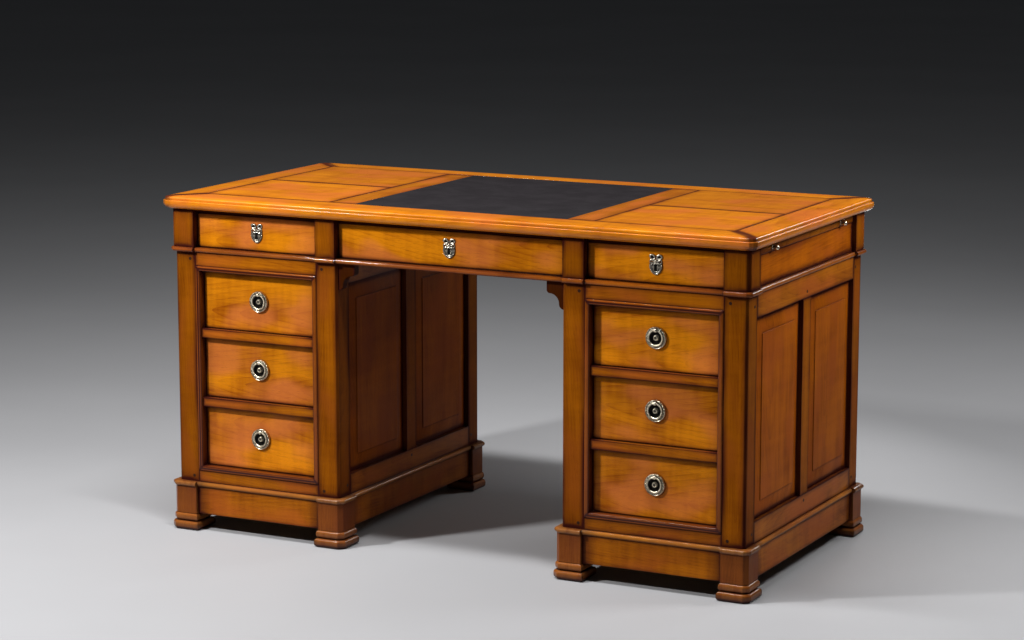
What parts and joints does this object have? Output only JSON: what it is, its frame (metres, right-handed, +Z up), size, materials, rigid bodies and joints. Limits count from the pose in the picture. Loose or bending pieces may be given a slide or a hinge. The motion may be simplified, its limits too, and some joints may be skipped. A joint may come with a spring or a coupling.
{
  "type": "partners desk",
  "caption": "Kneehole pedestal desk in varnished cherry: moulded top with a leather inset, frieze and pedestal drawers, writing slides, ring pulls and moulded feet.",
  "frame": {"origin": "on the floor, under the middle of the top", "axes": "+X along the desk to the right of someone facing its drawers, -Y out of the front where the drawers open, +Z up"},
  "size_m": [1.48, 0.73, 0.79],
  "materials": {
    "cherry_top": "satin varnished cherry",
    "cherry_frame": "satin varnished cherry, shaded in the corners",
    "cherry_panel": "satin varnished cherry with open figure",
    "cherry_drawer": "satin varnished cherry with open figure",
    "inner_wood": "plain unvarnished softwood and beech",
    "peg_wood": "dark stained end grain",
    "black_leather": "fine grained, satin",
    "old_nickel": "antiqued silver plate, dark in the hollows",
    "lock_steel": "plain steel"
  },
  "bodies": {
    "carcass": {"top_frame": "cherry_top", "top_boards": "cherry_top", "writing_leather": "black_leather", "frieze_posts": "cherry_frame", "frieze_frame": "inner_wood", "frieze_bead": "cherry_frame", "frieze_panels": "cherry_panel", "left_pedestal_frame": "cherry_frame", "right_pedestal_frame": "cherry_frame", "pedestal_panels": "cherry_panel", "drawer_surrounds": "cherry_frame", "drawer_runners": "inner_wood", "pedestal_floors": "inner_wood", "plinth_boards": "cherry_frame", "plinth_blocks": "cherry_frame", "kneehole_brackets": "cherry_frame", "dowel_pegs": "peg_wood"},
    "left_slide": {"left_writing_slide": "cherry_drawer", "left_slide_knobs": "old_nickel"},
    "right_slide": {"right_writing_slide": "cherry_drawer", "right_slide_knobs": "old_nickel"},
    "left_lower_drawer": {"left_lower_drawer_front": "cherry_drawer", "left_lower_drawer_box": "inner_wood", "left_lower_rosette": "old_nickel"},
    "left_lower_pull": {"left_lower_ring": "old_nickel"},
    "left_middle_drawer": {"left_middle_drawer_front": "cherry_drawer", "left_middle_drawer_box": "inner_wood", "left_middle_rosette": "old_nickel"},
    "left_middle_pull": {"left_middle_ring": "old_nickel"},
    "left_upper_drawer": {"left_upper_drawer_front": "cherry_drawer", "left_upper_drawer_box": "inner_wood", "left_upper_rosette": "old_nickel"},
    "left_upper_pull": {"left_upper_ring": "old_nickel"},
    "right_lower_drawer": {"right_lower_drawer_front": "cherry_drawer", "right_lower_drawer_box": "inner_wood", "right_lower_rosette": "old_nickel"},
    "right_lower_pull": {"right_lower_ring": "old_nickel"},
    "right_middle_drawer": {"right_middle_drawer_front": "cherry_drawer", "right_middle_drawer_box": "inner_wood", "right_middle_rosette": "old_nickel"},
    "right_middle_pull": {"right_middle_ring": "old_nickel"},
    "right_upper_drawer": {"right_upper_drawer_front": "cherry_drawer", "right_upper_drawer_box": "inner_wood", "right_upper_rosette": "old_nickel"},
    "right_upper_pull": {"right_upper_ring": "old_nickel"},
    "frieze_left_drawer": {"frieze_left_drawer_front": "cherry_drawer", "frieze_left_drawer_box": "inner_wood", "frieze_left_escutcheon": "old_nickel", "frieze_left_lock_case": "lock_steel"},
    "frieze_left_bolt": {"frieze_left_lock_bolt": "lock_steel"},
    "frieze_centre_drawer": {"frieze_centre_drawer_front": "cherry_drawer", "frieze_centre_drawer_box": "inner_wood", "frieze_centre_escutcheon": "old_nickel", "frieze_centre_lock_case": "lock_steel"},
    "frieze_centre_bolt": {"frieze_centre_lock_bolt": "lock_steel"},
    "frieze_right_drawer": {"frieze_right_drawer_front": "cherry_drawer", "frieze_right_drawer_box": "inner_wood", "frieze_right_escutcheon": "old_nickel", "frieze_right_lock_case": "lock_steel"},
    "frieze_right_bolt": {"frieze_right_lock_bolt": "lock_steel"}
  },
  "joints": [
    {"name": "left_slide_travel", "type": "slide", "parent": "carcass", "child": "left_slide", "axis": [-1, 0, 0], "range_m": [0, 0.26]},
    {"name": "right_slide_travel", "type": "slide", "parent": "carcass", "child": "right_slide", "axis": [1, 0, 0], "range_m": [0, 0.26]},
    {"name": "left_lower_drawer_slide", "type": "slide", "parent": "carcass", "child": "left_lower_drawer", "axis": [0, -1, 0], "range_m": [0, 0.4]},
    {"name": "left_lower_ring_swing", "type": "hinge", "parent": "left_lower_drawer", "child": "left_lower_pull", "pos_m": [-0.4995, -0.3312, 0.2475], "axis": [-1, 0, 0], "range_deg": [0, 95]},
    {"name": "left_middle_drawer_slide", "type": "slide", "parent": "carcass", "child": "left_middle_drawer", "axis": [0, -1, 0], "range_m": [0, 0.4]},
    {"name": "left_middle_ring_swing", "type": "hinge", "parent": "left_middle_drawer", "child": "left_middle_pull", "pos_m": [-0.4995, -0.3312, 0.4105], "axis": [-1, 0, 0], "range_deg": [0, 95]},
    {"name": "left_upper_drawer_slide", "type": "slide", "parent": "carcass", "child": "left_upper_drawer", "axis": [0, -1, 0], "range_m": [0, 0.4]},
    {"name": "left_upper_ring_swing", "type": "hinge", "parent": "left_upper_drawer", "child": "left_upper_pull", "pos_m": [-0.4995, -0.3312, 0.57], "axis": [-1, 0, 0], "range_deg": [0, 95]},
    {"name": "right_lower_drawer_slide", "type": "slide", "parent": "carcass", "child": "right_lower_drawer", "axis": [0, -1, 0], "range_m": [0, 0.4]},
    {"name": "right_lower_ring_swing", "type": "hinge", "parent": "right_lower_drawer", "child": "right_lower_pull", "pos_m": [0.4995, -0.3312, 0.2475], "axis": [-1, 0, 0], "range_deg": [0, 95]},
    {"name": "right_middle_drawer_slide", "type": "slide", "parent": "carcass", "child": "right_middle_drawer", "axis": [0, -1, 0], "range_m": [0, 0.4]},
    {"name": "right_middle_ring_swing", "type": "hinge", "parent": "right_middle_drawer", "child": "right_middle_pull", "pos_m": [0.4995, -0.3312, 0.4105], "axis": [-1, 0, 0], "range_deg": [0, 95]},
    {"name": "right_upper_drawer_slide", "type": "slide", "parent": "carcass", "child": "right_upper_drawer", "axis": [0, -1, 0], "range_m": [0, 0.4]},
    {"name": "right_upper_ring_swing", "type": "hinge", "parent": "right_upper_drawer", "child": "right_upper_pull", "pos_m": [0.4995, -0.3312, 0.57], "axis": [-1, 0, 0], "range_deg": [0, 95]},
    {"name": "frieze_left_drawer_slide", "type": "slide", "parent": "carcass", "child": "frieze_left_drawer", "axis": [0, -1, 0], "range_m": [0, 0.4]},
    {"name": "frieze_left_bolt_throw", "type": "slide", "parent": "frieze_left_drawer", "child": "frieze_left_bolt", "axis": [0, 0, 1], "range_m": [0, 0.006]},
    {"name": "frieze_centre_drawer_slide", "type": "slide", "parent": "carcass", "child": "frieze_centre_drawer", "axis": [0, -1, 0], "range_m": [0, 0.4]},
    {"name": "frieze_centre_bolt_throw", "type": "slide", "parent": "frieze_centre_drawer", "child": "frieze_centre_bolt", "axis": [0, 0, 1], "range_m": [0, 0.006]},
    {"name": "frieze_right_drawer_slide", "type": "slide", "parent": "carcass", "child": "frieze_right_drawer", "axis": [0, -1, 0], "range_m": [0, 0.4]},
    {"name": "frieze_right_bolt_throw", "type": "slide", "parent": "frieze_right_drawer", "child": "frieze_right_bolt", "axis": [0, 0, 1], "range_m": [0, 0.006]}
  ]
}
